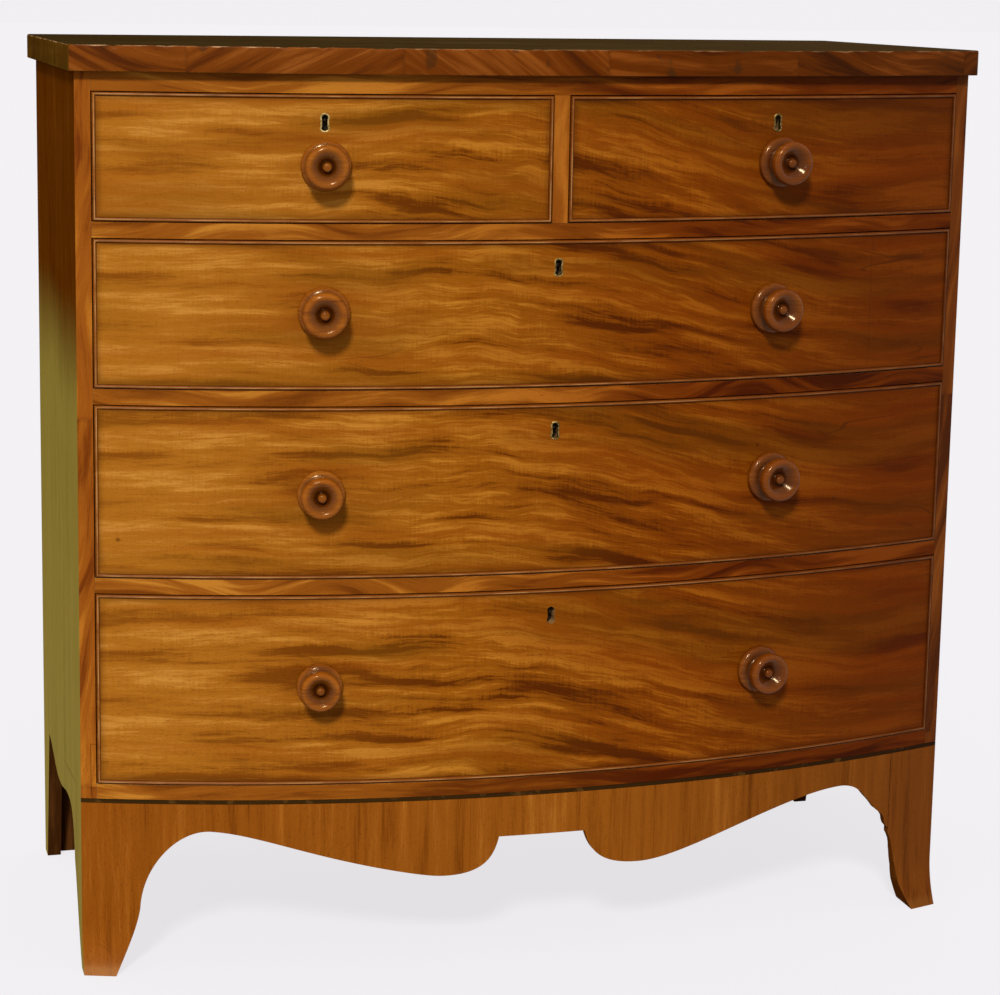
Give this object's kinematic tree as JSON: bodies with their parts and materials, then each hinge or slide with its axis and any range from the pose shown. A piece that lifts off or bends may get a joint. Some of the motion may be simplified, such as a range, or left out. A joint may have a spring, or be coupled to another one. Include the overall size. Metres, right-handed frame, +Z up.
{
  "type": "bow front chest of drawers",
  "caption": "Bow front chest: short drawers side by side over long ones, turned knobs, cockbeads, fretted apron and splayed feet.",
  "frame": {"origin": "on the floor, at the middle of the chest's bounding box with its knobs", "axes": "+Z up, the bowed front and knobs face -Y, +X to the right of someone facing the front"},
  "size_m": [1.0656, 0.544, 1.0476],
  "materials": {
    "drawer_front": "French polished figured mahogany",
    "rail": "French polished crossbanded mahogany",
    "side": "French polished mahogany, darker",
    "top": "French polished mahogany, dark and worn",
    "apron": "French polished mahogany with upright grain",
    "cockbead": "French polished mahogany bead",
    "knob": "glossy turned mahogany",
    "stringing": "ebonised inlay",
    "pine": "bare aged pine",
    "drawer_lining": "bare aged oak",
    "lock": "dull brass"
  },
  "bodies": {
    "carcase": {"top_board": "top", "side_left": "side", "side_right": "side", "back_panel": "pine", "carcase_bottom": "rail", "blade_1": "rail", "blade_2": "rail", "blade_3": "rail", "dustboard_1": "pine", "dustboard_2": "pine", "dustboard_3": "pine", "top_rail": "rail", "centre_partition": "rail", "stringing": "stringing", "apron": "apron", "rear_bracket_left": "pine", "rear_bracket_right": "pine"},
    "drawer_short_left": {"short_left_front": "drawer_front", "short_left_cockbead": "cockbead", "short_left_side_left": "drawer_lining", "short_left_side_right": "drawer_lining", "short_left_back": "drawer_lining", "short_left_base": "drawer_lining", "short_left_lock": "lock", "short_left_knob": "knob"},
    "drawer_short_right": {"short_right_front": "drawer_front", "short_right_cockbead": "cockbead", "short_right_side_left": "drawer_lining", "short_right_side_right": "drawer_lining", "short_right_back": "drawer_lining", "short_right_base": "drawer_lining", "short_right_lock": "lock", "short_right_knob": "knob"},
    "drawer_long_1": {"long_1_front": "drawer_front", "long_1_cockbead": "cockbead", "long_1_side_left": "drawer_lining", "long_1_side_right": "drawer_lining", "long_1_back": "drawer_lining", "long_1_base": "drawer_lining", "long_1_lock": "lock", "long_1_knob_left": "knob", "long_1_knob_right": "knob"},
    "drawer_long_2": {"long_2_front": "drawer_front", "long_2_cockbead": "cockbead", "long_2_side_left": "drawer_lining", "long_2_side_right": "drawer_lining", "long_2_back": "drawer_lining", "long_2_base": "drawer_lining", "long_2_lock": "lock", "long_2_knob_left": "knob", "long_2_knob_right": "knob"},
    "drawer_long_3": {"long_3_front": "drawer_front", "long_3_cockbead": "cockbead", "long_3_side_left": "drawer_lining", "long_3_side_right": "drawer_lining", "long_3_back": "drawer_lining", "long_3_base": "drawer_lining", "long_3_lock": "lock", "long_3_knob_left": "knob", "long_3_knob_right": "knob"}
  },
  "joints": [
    {"name": "short_left_slide", "type": "slide", "parent": "carcase", "child": "drawer_short_left", "axis": [0, -1, 0], "range_m": [0, 0.3]},
    {"name": "short_right_slide", "type": "slide", "parent": "carcase", "child": "drawer_short_right", "axis": [0, -1, 0], "range_m": [0, 0.3]},
    {"name": "long_1_slide", "type": "slide", "parent": "carcase", "child": "drawer_long_1", "axis": [0, -1, 0], "range_m": [0, 0.3]},
    {"name": "long_2_slide", "type": "slide", "parent": "carcase", "child": "drawer_long_2", "axis": [0, -1, 0], "range_m": [0, 0.3]},
    {"name": "long_3_slide", "type": "slide", "parent": "carcase", "child": "drawer_long_3", "axis": [0, -1, 0], "range_m": [0, 0.3]}
  ]
}
